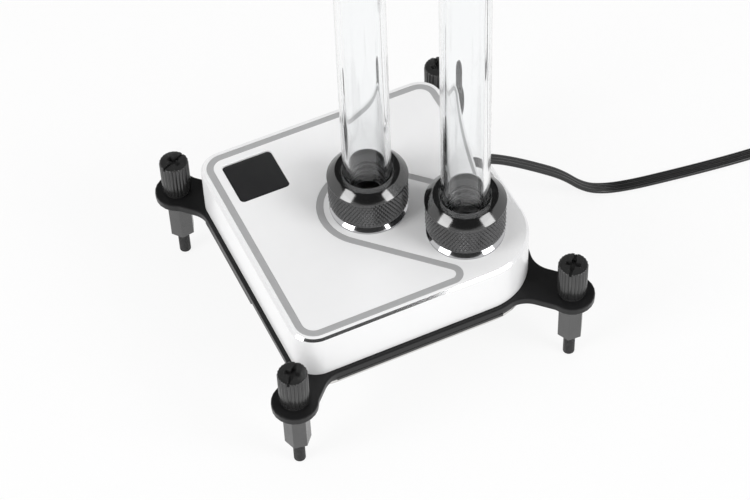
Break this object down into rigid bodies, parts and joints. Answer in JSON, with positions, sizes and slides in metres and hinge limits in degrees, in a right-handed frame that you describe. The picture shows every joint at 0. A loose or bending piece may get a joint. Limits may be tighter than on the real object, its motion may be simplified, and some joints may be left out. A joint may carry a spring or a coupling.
{
  "type": "cpu water block",
  "caption": "Liquid cooling block for a processor: white cover with an inlaid light loop, black bracket on stud mounts, two tube fittings with clear tubes, and a flat light lead.",
  "frame": {"origin": "centre of the cold plate's contact face, where it meets the processor", "axes": "+Z away from the processor, along the tubes; +X along the front edge towards the side that the light lead leaves"},
  "size_m": [0.1997, 0.0953, 0.1326],
  "materials": {
    "nickel_plate": "satin nickel plating on copper",
    "stainless": "rolled",
    "rubber_seal": "matte",
    "black_acetal": "machined satin",
    "dark_screw": "blackened",
    "black_steel": "satin black",
    "white_shell": "satin white with bright edges",
    "grey_diffuser": "frosted grey",
    "black_badge": "satin black",
    "board_laminate": "white solder mask",
    "chip_white": "moulded",
    "cable_jacket": "soft black jacket",
    "plug_plastic": "moulded",
    "contact_metal": "plated",
    "fitting_metal": "black anodised, polished edges",
    "slip_plastic": "moulded",
    "clear_tube": "clear polished tube",
    "washer_plastic": "moulded",
    "black_nut": "black anodised"
  },
  "bodies": {
    "block": {"badge_plate": "black_badge", "base_screws": "dark_screw", "cable_grommet": "rubber_seal", "cable_plug": "plug_plastic", "cold_plate": "nickel_plate", "cover_screws": "dark_screw", "flow_body": "black_acetal", "inlet_coolant_tube": "clear_tube", "inlet_fitting_base": "fitting_metal", "inlet_port_o_ring": "rubber_seal", "inlet_tube_o_rings": "rubber_seal", "jet_plate": "stainless", "led_board": "board_laminate", "led_cable": "cable_jacket", "led_cable_coil": "cable_jacket", "led_cable_tail": "cable_jacket", "led_chips": "chip_white", "light_diffuser": "grey_diffuser", "main_o_ring": "rubber_seal", "mounting_bracket": "black_steel", "outlet_coolant_tube": "clear_tube", "outlet_fitting_base": "fitting_metal", "outlet_port_o_ring": "rubber_seal", "outlet_tube_o_rings": "rubber_seal", "plug_contacts": "contact_metal", "standoff_front_left": "black_steel", "standoff_front_right": "black_steel", "standoff_rear_left": "black_steel", "standoff_rear_right": "black_steel", "top_cover": "white_shell"},
    "washer_front_left": {"nut_washer_front_left": "washer_plastic"},
    "nut_front_left": {"thumb_nut_front_left": "black_nut"},
    "washer_front_right": {"nut_washer_front_right": "washer_plastic"},
    "nut_front_right": {"thumb_nut_front_right": "black_nut"},
    "washer_rear_left": {"nut_washer_rear_left": "washer_plastic"},
    "nut_rear_left": {"thumb_nut_rear_left": "black_nut"},
    "washer_rear_right": {"nut_washer_rear_right": "washer_plastic"},
    "nut_rear_right": {"thumb_nut_rear_right": "black_nut"},
    "inlet_slip": {"inlet_slip_ring": "slip_plastic"},
    "inlet_collar": {"inlet_knurled_collar": "fitting_metal"},
    "outlet_slip": {"outlet_slip_ring": "slip_plastic"},
    "outlet_collar": {"outlet_knurled_collar": "fitting_metal"}
  },
  "joints": [
    {"name": "nut_lift_front_left", "type": "slide", "parent": "block", "child": "washer_front_left", "axis": [0, 0, 1], "range_m": [0, 0.005]},
    {"name": "nut_turn_front_left", "type": "hinge", "parent": "washer_front_left", "child": "nut_front_left", "pos_m": [-0.0375, -0.0375, 0.0136], "axis": [0, 0, 1], "range_deg": [0, 3600]},
    {"name": "nut_lift_front_right", "type": "slide", "parent": "block", "child": "washer_front_right", "axis": [0, 0, 1], "range_m": [0, 0.005]},
    {"name": "nut_turn_front_right", "type": "hinge", "parent": "washer_front_right", "child": "nut_front_right", "pos_m": [0.0375, -0.0375, 0.0136], "axis": [0, 0, 1], "range_deg": [0, 3600]},
    {"name": "nut_lift_rear_left", "type": "slide", "parent": "block", "child": "washer_rear_left", "axis": [0, 0, 1], "range_m": [0, 0.005]},
    {"name": "nut_turn_rear_left", "type": "hinge", "parent": "washer_rear_left", "child": "nut_rear_left", "pos_m": [-0.0375, 0.0375, 0.0136], "axis": [0, 0, 1], "range_deg": [0, 3600]},
    {"name": "nut_lift_rear_right", "type": "slide", "parent": "block", "child": "washer_rear_right", "axis": [0, 0, 1], "range_m": [0, 0.005]},
    {"name": "nut_turn_rear_right", "type": "hinge", "parent": "washer_rear_right", "child": "nut_rear_right", "pos_m": [0.0375, 0.0375, 0.0136], "axis": [0, 0, 1], "range_deg": [0, 3600]},
    {"name": "inlet_collar_lift", "type": "slide", "parent": "block", "child": "inlet_slip", "axis": [0, 0, 1], "range_m": [0, 0.004]},
    {"name": "inlet_collar_turn", "type": "hinge", "parent": "inlet_slip", "child": "inlet_collar", "pos_m": [0, 0, 0.028], "axis": [0, 0, 1], "range_deg": [0, 1440]},
    {"name": "outlet_collar_lift", "type": "slide", "parent": "block", "child": "outlet_slip", "axis": [0, 0, 1], "range_m": [0, 0.004]},
    {"name": "outlet_collar_turn", "type": "hinge", "parent": "outlet_slip", "child": "outlet_collar", "pos_m": [0.0179, -0.0179, 0.028], "axis": [0, 0, 1], "range_deg": [0, 1440]}
  ],
  "couplings": [
    {"joint": "nut_turn_front_left", "follows": "nut_lift_front_left", "rad_per_m": 12566},
    {"joint": "nut_turn_front_right", "follows": "nut_lift_front_right", "rad_per_m": 12566},
    {"joint": "nut_turn_rear_left", "follows": "nut_lift_rear_left", "rad_per_m": 12566},
    {"joint": "nut_turn_rear_right", "follows": "nut_lift_rear_right", "rad_per_m": 12566},
    {"joint": "inlet_collar_turn", "follows": "inlet_collar_lift", "rad_per_m": 6283.1},
    {"joint": "outlet_collar_turn", "follows": "outlet_collar_lift", "rad_per_m": 6283.1}
  ]
}
